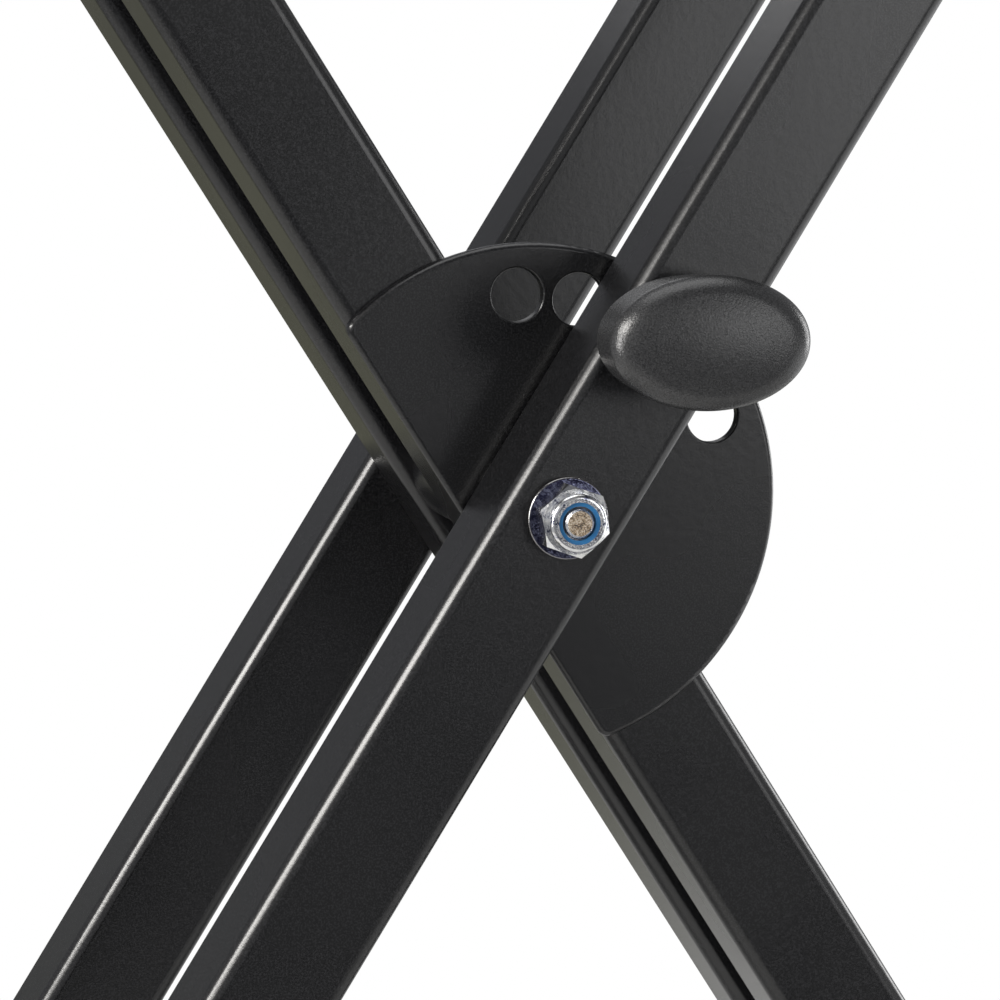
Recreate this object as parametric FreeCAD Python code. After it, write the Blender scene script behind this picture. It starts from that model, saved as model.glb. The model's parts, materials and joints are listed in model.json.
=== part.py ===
"""Double-braced folding keyboard stand.

Two pairs of square steel tubes cross at one pivot bolt. The outer pair carries a spring plunger
with an oval pull knob, and the inner pair carries a plate with five holes for it, one for each
height. Lengths are in millimetres. X runs to the right as seen from the knob's side, Y runs to
the back, Z runs up, and the floor lies at zero under the pivot.
"""
import FreeCAD, Part
import math
import os

V = FreeCAD.Vector
ORIGIN = V(0, 0, 0)
AXIS_X = V(1, 0, 0)
AXIS_Y = V(0, 1, 0)
AXIS_Z = V(0, 0, 1)

# Frame tubes
tube_width = 25.0
tube_wall = 1.5
tube_corner = 3.0
leg_lean_deg = 32.3
leg_reach = 480.0

# Layers through the pivot, front to back
lock_side_gap = 1.5
lock_plate_thickness = 2.5
inner_pair_gap = 29.0
rear_side_gap = 1.5

# Foot bars and arm bars, lying front to back
foot_bar_length = 420.0
arm_bar_length = 380.0

# Saddles, the bent channels that hold the bars on the leg ends
saddle_sheet = 3.0
saddle_side_gap = 0.25
saddle_flange_depth = 21.0
saddle_overhang = 24.0
saddle_corner = 6.0
saddle_bolt_inset = 12.0

# Saddle fasteners
saddle_bolt_diameter = 6.0
saddle_bolt_clearance = 0.25
saddle_bolt_head_flats = 10.0
saddle_bolt_head_height = 4.0
saddle_nut_height = 6.0
saddle_bolt_tail = 1.5

# Rubber boots on the bar ends and rubber strips on the arms
boot_wall = 4.0
boot_length = 36.0
boot_end_wall = 5.0
boot_corner = 5.0
boot_rim = 2.0
boot_fit = 0.1
tread_width = 2.5
tread_depth = 1.2
tread_count = 4
strip_inset = 1.5
strip_end_gap = 3.0
strip_groove_width = 2.0
strip_groove_depth = 1.4
strip_groove_count = 25

# Pivot fasteners
pivot_bolt_diameter = 8.0
pivot_bolt_clearance = 0.25
pivot_head_flats = 13.0
pivot_head_height = 5.3
pivot_washer_diameter = 16.5
pivot_washer_thickness = 1.6
pivot_washer_edge_round = 0.4
pivot_nut_flats = 13.0
pivot_nut_hex_height = 5.2
pivot_nut_height = 8.0
pivot_nut_turn_deg = 40.0
pivot_nut_collar_diameter = 11.6
pivot_nut_lip = 0.7
pivot_nut_thread_fit = 0.05
pivot_ring_outer_diameter = 9.6
pivot_ring_mouth_diameter = 8.4
pivot_ring_bore = 6.8
pivot_ring_height = 2.6
bolt_point_diameter = 5.8
bolt_point_ring_gap = 0.3
bolt_point_standout = 0.3
bolt_point_chamfer = 0.5

# Pivot bearings
sleeve_diameter = 12.0
sleeve_bore_clearance = 0.15
bush_diameter = 16.0
bush_running_clearance = 0.06
bush_seat_clearance = 0.03
bush_flange_diameter = 22.0
bush_flange_thickness = 1.2
spacer_diameter = 22.0
spacer_bore_clearance = 0.5

# Lock plate
lock_plate_radius = 53.0
lock_plate_edge_overhang = 1.0
lock_plate_corner = 2.5
lock_plate_edge_round = 1.2
lock_hole_edge_round = 0.4
lock_hole_diameter = 11.0
lock_hole_circle = 42.5
lock_hole_pitch_deg = 17.75
lock_hole_count = 5
lock_hole_lag_deg = 0.6

# Lock plunger
pin_diameter = 10.0
pin_stem_diameter = 6.0
pin_head_length = 9.0
pin_point_chamfer = 1.0
pin_plate_gap = 0.5
guide_diameter = 14.0
guide_seat_clearance = 0.05
guide_flange_diameter = 18.0
guide_flange_height = 3.5
guide_running_clearance = 0.06
guide_stem_land = 6.0
spring_wire = 0.9
spring_coils = 5
spring_arcs_per_coil = 2
spring_clearance = 0.3

# Pull knob
knob_length = 40.5
knob_height = 26.4
knob_depth = 18.5
knob_standoff = 8.3
knob_base_taper = 0.8
knob_rim_radius = 4.5
knob_dome = 0.9
knob_wall = 2.6
knob_hollow_depth = 9.0
knob_boss_diameter = 11.0
knob_stem_grip = 11.0
knob_stem_fit = 0.02

# Length that every cutting shape runs past the faces it cuts
overrun = 2.0

# Places worked out from the sizes above
lean = math.radians(leg_lean_deg)
half_tube = tube_width / 2
boot_width = tube_width + 2 * boot_wall
leg_foot_z = boot_wall + tube_width + saddle_sheet
leg_rise = leg_reach * math.cos(lean)
leg_run = leg_reach * math.sin(lean)
pivot_z = leg_foot_z + leg_rise
leg_top_z = pivot_z + leg_rise
foot_bar_z = boot_wall + half_tube
arm_bar_z = leg_top_z + saddle_sheet + half_tube
stack_depth = 4 * tube_width + lock_side_gap + lock_plate_thickness + inner_pair_gap + rear_side_gap

outer_front_y = -stack_depth / 2
outer_front_back_y = outer_front_y + tube_width
plate_front_y = outer_front_back_y + lock_side_gap
inner_front_y = plate_front_y + lock_plate_thickness
inner_front_back_y = inner_front_y + tube_width
inner_rear_y = inner_front_back_y + inner_pair_gap
inner_rear_back_y = inner_rear_y + tube_width
outer_rear_y = inner_rear_back_y + rear_side_gap
outer_rear_back_y = outer_rear_y + tube_width

lock_pin_x = lock_hole_circle * math.sin(lean)
lock_pin_z = pivot_z + lock_hole_circle * math.cos(lean)
pin_tip_y = plate_front_y - pin_plate_gap
knob_base_y = outer_front_y - knob_standoff

os.makedirs("parts", exist_ok=True)


def save(name, *solids):
    """Write one sub-part, alone or as a group of equal pieces."""
    shape = solids[0] if len(solids) == 1 else Part.makeCompound(list(solids))
    shape.exportStep("parts/" + name + ".step")


def rounded_wire(width, height, radius):
    """Rounded rectangle about the origin, in the XY plane."""
    x = width / 2
    y = height / 2
    slant = radius * (1 - math.sqrt(0.5))
    centres = [(x, y, 1, 1), (-x, y, -1, 1), (-x, -y, -1, -1), (x, -y, 1, -1)]
    edges = []
    starts = []
    for cx, cy, sx, sy in centres:
        on_side = V(cx, cy - sy * radius, 0)
        on_bend = V(cx - sx * slant, cy - sy * slant, 0)
        on_top = V(cx - sx * radius, cy, 0)
        ends = (on_side, on_top) if sx * sy > 0 else (on_top, on_side)
        edges.append(Part.Arc(ends[0], on_bend, ends[1]).toShape())
        starts.append(ends)
    for index, ends in enumerate(starts):
        following = starts[(index + 1) % len(starts)]
        edges.append(Part.makeLine(ends[1], following[0]))
    return Part.Wire(Part.__sortEdges__(edges))


def square_tube(length):
    """Hollow square tube with rounded corners, centred on the origin along Z."""
    outer = Part.Face(rounded_wire(tube_width, tube_width, tube_corner)).extrude(V(0, 0, length))
    bore_width = tube_width - 2 * tube_wall
    bore_corner = tube_corner - tube_wall
    bore = Part.Face(rounded_wire(bore_width, bore_width, bore_corner)).extrude(V(0, 0, length))
    tube = outer.cut(bore)
    tube.translate(V(0, 0, -length / 2))
    return tube


def rod_y(diameter, start_y, end_y, x=0, z=0):
    """Round bar that lies front to back."""
    return Part.makeCylinder(diameter / 2, end_y - start_y, V(x, start_y, z), AXIS_Y)


def ring_y(outer, bore, start_y, end_y, x=0, z=0):
    """Round ring that lies front to back."""
    hole = rod_y(bore, start_y - overrun, end_y + overrun, x, z)
    return rod_y(outer, start_y, end_y, x, z).cut(hole)


def hexagon(flats, height, turn_deg=0):
    """Hexagonal prism on the XY plane, its top edge chamfered as on a turned bar."""
    reach = flats / math.sqrt(3)
    turn = math.radians(turn_deg)
    steps = [turn + math.radians(60) * index for index in range(6)]
    points = [V(reach * math.cos(step), reach * math.sin(step), 0) for step in steps]
    prism = Part.Face(Part.makePolygon(points + points[:1])).extrude(V(0, 0, height))
    drop = (reach - flats / 2) * math.tan(math.radians(30))
    side = Part.makeCylinder(reach, height - drop)
    crown = Part.makeCone(reach, flats / 2, drop, V(0, 0, height - drop))
    return prism.common(side.fuse(crown))


def leg(front_y, lean_deg):
    """One leg tube, leaning in its layer, both ends cut level for the saddles."""
    spare = 2 * tube_width
    tube = square_tube(2 * (leg_reach + spare))
    tube.rotate(ORIGIN, AXIS_Y, lean_deg)
    tube.translate(V(0, front_y + half_tube, pivot_z))
    span = 2 * (leg_run + spare)
    slab = Part.makeBox(span, tube_width, 2 * leg_rise, V(-span / 2, front_y, leg_foot_z))
    return tube.common(slab)


def saddle(x, z_web, up, span_front_y, span_back_y):
    """Bent channel across two leg ends. Its flanges stand up or hang down beside the bar."""
    bore = tube_width + 2 * saddle_side_gap
    width = bore + 2 * saddle_sheet
    height = saddle_sheet + saddle_flange_depth
    front_y = span_front_y - saddle_overhang
    length = span_back_y + saddle_overhang - front_y
    block = Part.makeBox(width, length, height, V(-width / 2, front_y, 0))
    bends = [e for e in block.Edges if is_along(e, AXIS_Y) and e.CenterOfMass.z < height / 2]
    block = block.makeFillet(saddle_sheet, bends)
    tips = [e for e in block.Edges if is_along(e, AXIS_X) and e.CenterOfMass.z > height / 2]
    block = block.makeFillet(saddle_corner, tips)
    hollow = Part.makeBox(bore, length + 2 * overrun, height, V(-bore / 2, front_y - overrun, saddle_sheet))
    channel = block.cut(hollow)
    for y in saddle_bolt_places(span_front_y, span_back_y):
        z = saddle_sheet + half_tube
        hole = saddle_bolt_diameter + 2 * saddle_bolt_clearance
        reach = width + 2 * overrun
        channel = channel.cut(Part.makeCylinder(hole / 2, reach, V(-reach / 2, y, z), AXIS_X))
    if not up:
        channel.rotate(ORIGIN, AXIS_Y, 180)
    channel.translate(V(x, 0, z_web))
    return channel


def is_along(edge, direction):
    """True for a straight edge that follows a direction."""
    if not isinstance(edge.Curve, Part.Line):
        return False
    return abs(abs(edge.Curve.Direction.dot(direction)) - 1) < 1e-6


def saddle_bolt_places(span_front_y, span_back_y):
    """Bolt places along a saddle, one just inside each end."""
    return (span_front_y - saddle_overhang + saddle_bolt_inset,
            span_back_y + saddle_overhang - saddle_bolt_inset)


def bar(x, z, length, bolt_ys):
    """Cross bar that lies front to back, drilled for the saddle bolts."""
    tube = square_tube(length)
    tube.rotate(ORIGIN, AXIS_X, 90)
    tube.translate(V(x, 0, z))
    hole = saddle_bolt_diameter + 2 * saddle_bolt_clearance
    reach = tube_width + 2 * overrun
    for y in bolt_ys:
        tube = tube.cut(Part.makeCylinder(hole / 2, reach, V(x - reach / 2, y, z), AXIS_X))
    return tube


def saddle_bolt(x, y, z, outward):
    """Hexagon bolt through a saddle, its head on the outward side."""
    grip = tube_width + 2 * (saddle_side_gap + saddle_sheet)
    shank = grip + saddle_nut_height + saddle_bolt_tail
    head = hexagon(saddle_bolt_head_flats, saddle_bolt_head_height)
    stem = Part.makeCylinder(saddle_bolt_diameter / 2, shank, ORIGIN, -AXIS_Z)
    bolt = head.fuse(stem).removeSplitter()
    bolt.translate(V(0, 0, grip / 2))
    bolt.rotate(ORIGIN, AXIS_Y, 90 * outward)
    bolt.translate(V(x, y, z))
    return bolt


def saddle_nut(x, y, z, outward):
    """Locking nut on the inward end of a saddle bolt."""
    grip = tube_width + 2 * (saddle_side_gap + saddle_sheet)
    nut = hexagon(saddle_bolt_head_flats, saddle_nut_height)
    bore = saddle_bolt_diameter / 2 + pivot_nut_thread_fit
    nut = nut.cut(Part.makeCylinder(bore, saddle_nut_height + 2 * overrun, V(0, 0, -overrun)))
    nut.translate(V(0, 0, grip / 2))
    nut.rotate(ORIGIN, AXIS_Y, -90 * outward)
    nut.translate(V(x, y, z))
    return nut


def boot(x, z, end_y, facing):
    """Rubber boot over a bar end: a square cup with a treaded sole and top."""
    cup = Part.Face(rounded_wire(boot_width, boot_width, boot_corner)).extrude(V(0, 0, boot_length))
    rims = [e for e in cup.Edges if e.BoundBox.ZMin > boot_length - boot_rim]
    cup = cup.makeChamfer(boot_rim, rims)
    socket_width = tube_width + 2 * boot_fit
    depth = boot_length - boot_end_wall
    socket = Part.Face(rounded_wire(socket_width, socket_width, tube_corner)).extrude(V(0, 0, depth))
    cup = cup.cut(socket)
    step = depth / (tread_count + 1)
    for index in range(tread_count):
        middle = step * (index + 1)
        for side in (-1, 1):
            corner = V(-boot_width, side * (boot_width / 2 - tread_depth), middle - tread_width / 2)
            groove = Part.makeBox(2 * boot_width, boot_wall, tread_width, corner)
            if side < 0:
                groove.translate(V(0, -boot_wall, 0))
            cup = cup.cut(groove)
    cup.rotate(ORIGIN, AXIS_X, -90 * facing)
    cup.translate(V(x, end_y - facing * depth, z))
    return cup


def arm_strip(x):
    """Ribbed rubber strip on top of an arm bar, level with the boots at its ends."""
    width = tube_width - 2 * strip_inset
    half = arm_bar_length / 2 - (boot_length - boot_end_wall) - strip_end_gap
    base_z = arm_bar_z + half_tube
    strip = Part.makeBox(width, 2 * half, boot_wall, V(x - width / 2, -half, base_z))
    step = 2 * half / (strip_groove_count + 1)
    top_z = base_z + boot_wall
    for index in range(strip_groove_count):
        y = -half + step * (index + 1) - strip_groove_width / 2
        corner = V(x - width, y, top_z - strip_groove_depth)
        strip = strip.cut(Part.makeBox(2 * width, strip_groove_width, boot_wall, corner))
    return strip


def frame_ends(prefix, side, span_front_y, span_back_y):
    """Foot and arm of one leg pair. Its foot lies on one side and its arm on the other."""
    bolt_ys = saddle_bolt_places(span_front_y, span_back_y)
    foot_x = -side * leg_run
    arm_x = side * leg_run
    save(prefix + "_foot_saddle", saddle(foot_x, leg_foot_z, False, span_front_y, span_back_y))
    save(prefix + "_arm_saddle", saddle(arm_x, leg_top_z, True, span_front_y, span_back_y))
    save(prefix + "_foot_bar", bar(foot_x, foot_bar_z, foot_bar_length, bolt_ys))
    save(prefix + "_arm_bar", bar(arm_x, arm_bar_z, arm_bar_length, bolt_ys))
    save(prefix + "_arm_strip", arm_strip(arm_x))
    ends = (("foot", foot_x, foot_bar_z, foot_bar_length), ("arm", arm_x, arm_bar_z, arm_bar_length))
    for name, x, z, length in ends:
        save(prefix + "_" + name + "_boot_front", boot(x, z, -length / 2, -1))
        save(prefix + "_" + name + "_boot_rear", boot(x, z, length / 2, 1))
    bolts = []
    nuts = []
    for x, z, outward in ((foot_x, foot_bar_z, -side), (arm_x, arm_bar_z, side)):
        for y in bolt_ys:
            bolts.append(saddle_bolt(x, y, z, outward))
            nuts.append(saddle_nut(x, y, z, outward))
    save(prefix + "_saddle_bolts", *bolts)
    save(prefix + "_saddle_nuts", *nuts)


# Outer leg pair, drilled for the pivot bolt and, in front, for the plunger's guide
outer_bore = pivot_bolt_diameter + 2 * pivot_bolt_clearance
outer_drill = rod_y(outer_bore, outer_front_y - overrun, outer_rear_back_y + overrun, 0, pivot_z)
guide_bore = guide_diameter + 2 * guide_seat_clearance
guide_drill = rod_y(guide_bore, outer_front_y - overrun, outer_front_back_y + overrun,
                    lock_pin_x, lock_pin_z)
save("outer_leg_front", leg(outer_front_y, leg_lean_deg).cut(outer_drill).cut(guide_drill))
save("outer_leg_rear", leg(outer_rear_y, leg_lean_deg).cut(outer_drill))
frame_ends("outer", 1, outer_front_y, outer_rear_back_y)

# Inner leg pair, drilled for the pivot bushes, with a welded spacer between the two tubes
bush_bore = bush_diameter + 2 * bush_seat_clearance
inner_drill = rod_y(bush_bore, plate_front_y - overrun, inner_rear_back_y + overrun, 0, pivot_z)
save("inner_leg_front", leg(inner_front_y, -leg_lean_deg).cut(inner_drill))
save("inner_leg_rear", leg(inner_rear_y, -leg_lean_deg).cut(inner_drill))
frame_ends("inner", -1, inner_front_y, inner_rear_back_y)
spacer_bore = sleeve_diameter + 2 * spacer_bore_clearance
save("inner_spacer", ring_y(spacer_diameter, spacer_bore, inner_front_back_y, inner_rear_y, 0, pivot_z))


def front_edges(shape, y):
    """Edges that lie wholly in the plane of a front face."""
    near = overrun / 100
    return [e for e in shape.Edges if e.BoundBox.YLength < near and abs(e.CenterOfMass.y - y) < near]


def lock_plate():
    """Round segment on the front inner leg, with five holes on a circle about the pivot."""
    disc = rod_y(2 * lock_plate_radius, plate_front_y, inner_front_y, 0, 0)
    chord = half_tube + lock_plate_edge_overhang
    size = 2 * lock_plate_radius
    block = Part.makeBox(chord + size, lock_plate_thickness, 2 * size, V(-chord, plate_front_y, -size))
    plate = disc.common(block)
    corners = [e for e in plate.Edges if is_along(e, AXIS_Y)
               and abs(e.CenterOfMass.x + chord) < lock_plate_corner]
    plate = plate.makeFillet(lock_plate_corner, corners)
    plate.rotate(ORIGIN, AXIS_Y, -leg_lean_deg)
    plate = plate.makeFillet(lock_plate_edge_round, front_edges(plate, plate_front_y))
    middle = leg_lean_deg - lock_hole_lag_deg
    for index in range(lock_hole_count):
        turn = math.radians(middle + lock_hole_pitch_deg * (index - (lock_hole_count - 1) / 2))
        x = lock_hole_circle * math.sin(turn)
        z = lock_hole_circle * math.cos(turn)
        plate = plate.cut(rod_y(lock_hole_diameter, plate_front_y - overrun, inner_front_y + overrun, x, z))
    hole_rims = [e for e in front_edges(plate, plate_front_y) if e.isClosed()]
    plate = plate.makeFillet(lock_hole_edge_round, hole_rims)
    plate = plate.cut(rod_y(bush_bore, plate_front_y - overrun, inner_front_y + overrun))
    plate.translate(V(0, 0, pivot_z))
    return plate


save("lock_plate", lock_plate())


def pivot_bush(start_y, end_y, flange_at_start):
    """Nylon flanged bush of the inner pair, which turns on the steel sleeve."""
    bore = sleeve_diameter + 2 * bush_running_clearance
    body = rod_y(bush_diameter, start_y, end_y, 0, pivot_z)
    if flange_at_start:
        flange = rod_y(bush_flange_diameter, start_y - bush_flange_thickness, start_y, 0, pivot_z)
    else:
        flange = rod_y(bush_flange_diameter, end_y, end_y + bush_flange_thickness, 0, pivot_z)
    reach = bush_flange_thickness + overrun
    return body.fuse(flange).removeSplitter().cut(rod_y(bore, start_y - reach, end_y + reach, 0, pivot_z))


save("pivot_bush_front", pivot_bush(plate_front_y, inner_front_back_y, True))
save("pivot_bush_rear", pivot_bush(inner_rear_y, inner_rear_back_y, False))
sleeve_bore = pivot_bolt_diameter + 2 * sleeve_bore_clearance
save("pivot_sleeve", ring_y(sleeve_diameter, sleeve_bore, outer_front_back_y, outer_rear_y, 0, pivot_z))

# Pivot bolt, washers and locking nut
washer_bore = pivot_bolt_diameter + 2 * pivot_bolt_clearance
nut_seat_y = outer_front_y - pivot_washer_thickness
head_seat_y = outer_rear_back_y + pivot_washer_thickness


def pivot_washer(start_y, end_y, open_y):
    """Flat washer, its outer rim rounded on the side that shows."""
    washer = ring_y(pivot_washer_diameter, washer_bore, start_y, end_y, 0, pivot_z)
    least_width = (pivot_washer_diameter + washer_bore) / 2
    rim = [e for e in front_edges(washer, open_y) if e.BoundBox.XLength > least_width]
    return washer.makeFillet(pivot_washer_edge_round, rim)


save("pivot_washer_front", pivot_washer(nut_seat_y, outer_front_y, nut_seat_y))
save("pivot_washer_rear", pivot_washer(outer_rear_back_y, head_seat_y, head_seat_y))


def face_front(shape, seat_y):
    """Turn a shape built up from the XY plane so that it stands out to the front of a seat."""
    shape.rotate(ORIGIN, AXIS_X, 90)
    shape.translate(V(0, seat_y, pivot_z))
    return shape


def pivot_bolt():
    """Hexagon bolt from the back, with a chamfered point just past the nut."""
    head = hexagon(pivot_head_flats, pivot_head_height)
    head.rotate(ORIGIN, AXIS_X, -90)
    head.translate(V(0, head_seat_y, pivot_z))
    tip_y = nut_seat_y - pivot_nut_height - bolt_point_standout
    point_length = pivot_ring_height + pivot_nut_lip + bolt_point_standout + bolt_point_ring_gap
    step_y = tip_y + point_length
    shank = rod_y(pivot_bolt_diameter, step_y, head_seat_y, 0, pivot_z)
    point = rod_y(bolt_point_diameter, tip_y, step_y, 0, pivot_z)
    ends = [e for e in point.Edges if e.BoundBox.YMax < tip_y + bolt_point_chamfer]
    point = point.makeChamfer(bolt_point_chamfer, ends)
    return head.fuse(shank).fuse(point).removeSplitter()


def pivot_nut():
    """Locking nut: a hexagon with a round collar crimped in over the nylon ring."""
    collar_radius = pivot_nut_collar_diameter / 2
    collar = Part.makeCylinder(collar_radius, pivot_nut_height)
    crown = [e for e in collar.Edges if e.BoundBox.ZMin > pivot_nut_height / 2]
    crown = [e for e in crown if e.BoundBox.ZMax - e.BoundBox.ZMin < pivot_nut_lip]
    collar = collar.makeFillet(collar_radius - pivot_ring_mouth_diameter / 2 - pivot_nut_lip, crown)
    body = hexagon(pivot_nut_flats, pivot_nut_hex_height, pivot_nut_turn_deg).fuse(collar)
    thread = pivot_bolt_diameter / 2 + pivot_nut_thread_fit
    ring_base = pivot_nut_height - pivot_nut_lip - pivot_ring_height
    body = body.cut(Part.makeCylinder(thread, ring_base + overrun, V(0, 0, -overrun)))
    body = body.cut(Part.makeCylinder(pivot_ring_outer_diameter / 2, pivot_ring_height, V(0, 0, ring_base)))
    mouth = Part.makeCylinder(pivot_ring_mouth_diameter / 2, pivot_nut_height, V(0, 0, ring_base))
    return face_front(body.cut(mouth), nut_seat_y)


def pivot_nut_ring():
    """Nylon ring held in the nut's collar, its lip filling the collar's mouth."""
    base = pivot_nut_height - pivot_nut_lip - pivot_ring_height
    ring = Part.makeCylinder(pivot_ring_outer_diameter / 2, pivot_ring_height, V(0, 0, base))
    lip = Part.makeCylinder(pivot_ring_mouth_diameter / 2, pivot_ring_height + pivot_nut_lip / 2, V(0, 0, base))
    bore = Part.makeCylinder(pivot_ring_bore / 2, pivot_nut_height, V(0, 0, base - overrun))
    return face_front(ring.fuse(lip).removeSplitter().cut(bore), nut_seat_y)


save("pivot_bolt", pivot_bolt())
save("pivot_nut", pivot_nut())
save("pivot_nut_ring", pivot_nut_ring())

# Plunger guide, welded through the front outer leg: a narrow land for the stem in front and a
# wide bore for the spring and the pin's head behind it
guide_land_back_y = outer_front_y - guide_flange_height + guide_stem_land
head_bore = pin_diameter + 2 * guide_running_clearance
stem_bore = pin_stem_diameter + 2 * guide_running_clearance


def lock_guide():
    """Flanged guide sleeve of the plunger."""
    front_y = outer_front_y - guide_flange_height
    flange = rod_y(guide_flange_diameter, front_y, outer_front_y, lock_pin_x, lock_pin_z)
    body = rod_y(guide_diameter, front_y, outer_front_back_y, lock_pin_x, lock_pin_z)
    wide = rod_y(head_bore, guide_land_back_y, outer_front_back_y + overrun, lock_pin_x, lock_pin_z)
    narrow = rod_y(stem_bore, front_y - overrun, outer_front_back_y, lock_pin_x, lock_pin_z)
    return flange.fuse(body).removeSplitter().cut(wide).cut(narrow)


def lock_pin():
    """Plunger pin: a wide head toward the plate and a slim stem into the knob."""
    head_back_y = pin_tip_y - pin_head_length
    head = rod_y(pin_diameter, head_back_y, pin_tip_y, lock_pin_x, lock_pin_z)
    points = [e for e in head.Edges if e.BoundBox.YMin > pin_tip_y - pin_point_chamfer]
    head = head.makeChamfer(pin_point_chamfer, points)
    stem = rod_y(pin_stem_diameter, knob_base_y - knob_stem_grip, head_back_y, lock_pin_x, lock_pin_z)
    return head.fuse(stem).removeSplitter()


def biarc(start, start_way, end, end_way):
    """Two arcs that join two points and leave each one along its own direction."""
    chord = end - start
    ways = start_way + end_way
    blend = 2 * (1 - start_way.dot(end_way))
    lead = chord.dot(ways)
    reach = (math.sqrt(lead * lead + blend * chord.dot(chord)) - lead) / blend
    start_arm = start + start_way * reach
    end_arm = end - end_way * reach
    middle = (start_arm + end_arm) * 0.5
    return [tangent_arc(start, start_arm, middle), tangent_arc(middle, end_arm, end)]


def tangent_arc(start, corner, end):
    """Arc between two points whose tangents meet at a corner."""
    half = (end - start).Length / 2
    centre_line = (start + end) * 0.5 - corner
    height = centre_line.Length
    arm = math.hypot(half, height)
    sag = half * (arm - half) / height
    return Part.Arc(start, (start + end) * 0.5 - centre_line * (sag / height), end).toShape()


def lock_spring():
    """Coil spring round the stem, between the guide's land and the pin's head."""
    start_y = guide_land_back_y + spring_clearance + spring_wire / 2
    end_y = pin_tip_y - pin_head_length - spring_clearance - spring_wire / 2
    radius = (pin_diameter - spring_wire) / 2 - spring_clearance
    steps = spring_arcs_per_coil * spring_coils
    stride = 2 * math.pi / spring_arcs_per_coil
    rise = (end_y - start_y) / steps
    climb = rise / stride
    points = []
    ways = []
    for step in range(steps + 1):
        turn = stride * step
        points.append(V(lock_pin_x + radius * math.cos(turn), start_y + rise * step,
                        lock_pin_z - radius * math.sin(turn)))
        ways.append(V(-radius * math.sin(turn), climb, -radius * math.cos(turn)).normalize())
    edges = []
    for step in range(steps):
        edges += biarc(points[step], ways[step], points[step + 1], ways[step + 1])
    section = Part.Wire(Part.makeCircle(spring_wire / 2, points[0], ways[0]))
    coil = Part.Wire(edges).makePipeShell([section], True, False)
    turns = [edge.valueAt(edge.FirstParameter) for edge in edges]
    per_turn = len(edges) // spring_coils
    gaps = [(b - a).Length - spring_wire for a, b in zip(turns, turns[per_turn:])]
    print("spring gap to itself", round(min(gaps), 2))
    return coil


def stretch_x(shape, ratio):
    """Widen a turned shape into an oval."""
    matrix = FreeCAD.Matrix()
    matrix.scale(ratio, 1, 1)
    return shape.transformGeometry(matrix)


def pull_knob():
    """Moulded oval knob: tapered wall, soft rim into a low dome, hollow back with a boss for the stem."""
    wide = knob_height / 2
    base = wide - knob_base_taper
    reach = wide - knob_rim_radius
    dome_radius = (reach ** 2 + knob_dome ** 2) / (2 * knob_dome)
    dome_z = knob_depth - dome_radius
    rim_z = dome_z + math.sqrt((dome_radius - knob_rim_radius) ** 2 - reach ** 2)
    # The rim's arc and the dome's arc share a tangent where they meet, at this angle from the axis
    meet = math.atan2(reach, rim_z - dome_z)

    def on_arc(centre_x, centre_z, radius, angle):
        return V(centre_x + radius * math.sin(angle), 0, centre_z + radius * math.cos(angle))

    rim_start = V(wide, 0, rim_z)
    rim_middle = on_arc(reach, rim_z, knob_rim_radius, (meet + math.pi / 2) / 2)
    rim_end = on_arc(reach, rim_z, knob_rim_radius, meet)
    dome_middle = on_arc(0, dome_z, dome_radius, meet / 2)
    crown = V(0, 0, knob_depth)
    profile = [Part.makeLine(ORIGIN, V(base, 0, 0)), Part.makeLine(V(base, 0, 0), rim_start),
               Part.Arc(rim_start, rim_middle, rim_end).toShape(),
               Part.Arc(rim_end, dome_middle, crown).toShape(), Part.makeLine(crown, ORIGIN)]
    body = Part.Face(Part.Wire(profile)).revolve(ORIGIN, AXIS_Z, 360)
    hollow = Part.makeCone(base - knob_wall, wide - knob_wall - knob_base_taper / 2, knob_hollow_depth)
    ratio = knob_length / knob_height
    knob = stretch_x(body, ratio).cut(stretch_x(hollow, ratio))
    boss = Part.makeCylinder(knob_boss_diameter / 2, knob_hollow_depth + overrun)
    knob = knob.fuse(boss)
    grip = Part.makeCylinder(pin_stem_diameter / 2 + knob_stem_fit, knob_stem_grip + overrun, V(0, 0, -overrun))
    knob = knob.cut(grip)
    knob.rotate(ORIGIN, AXIS_X, 90)
    knob.translate(V(lock_pin_x, knob_base_y, lock_pin_z))
    return knob


save("lock_guide", lock_guide())
save("lock_pin", lock_pin())
save("lock_spring", lock_spring())
save("pull_knob", pull_knob())
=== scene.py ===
# %% [markdown]
# # A folding keyboard stand, dressed for the camera
# The construction comes in ready made: square steel legs, a lock plate, a plunger with an oval
# knob, and the bolt that all of it folds on. This lesson gives every surface its finish, adds the
# beads that a welder leaves and the plunger's coil spring, and sets up a plain studio. Lengths are in
# metres, and places come from the construction wherever it has them.

# %% Load the construction
import json
import math

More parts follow.
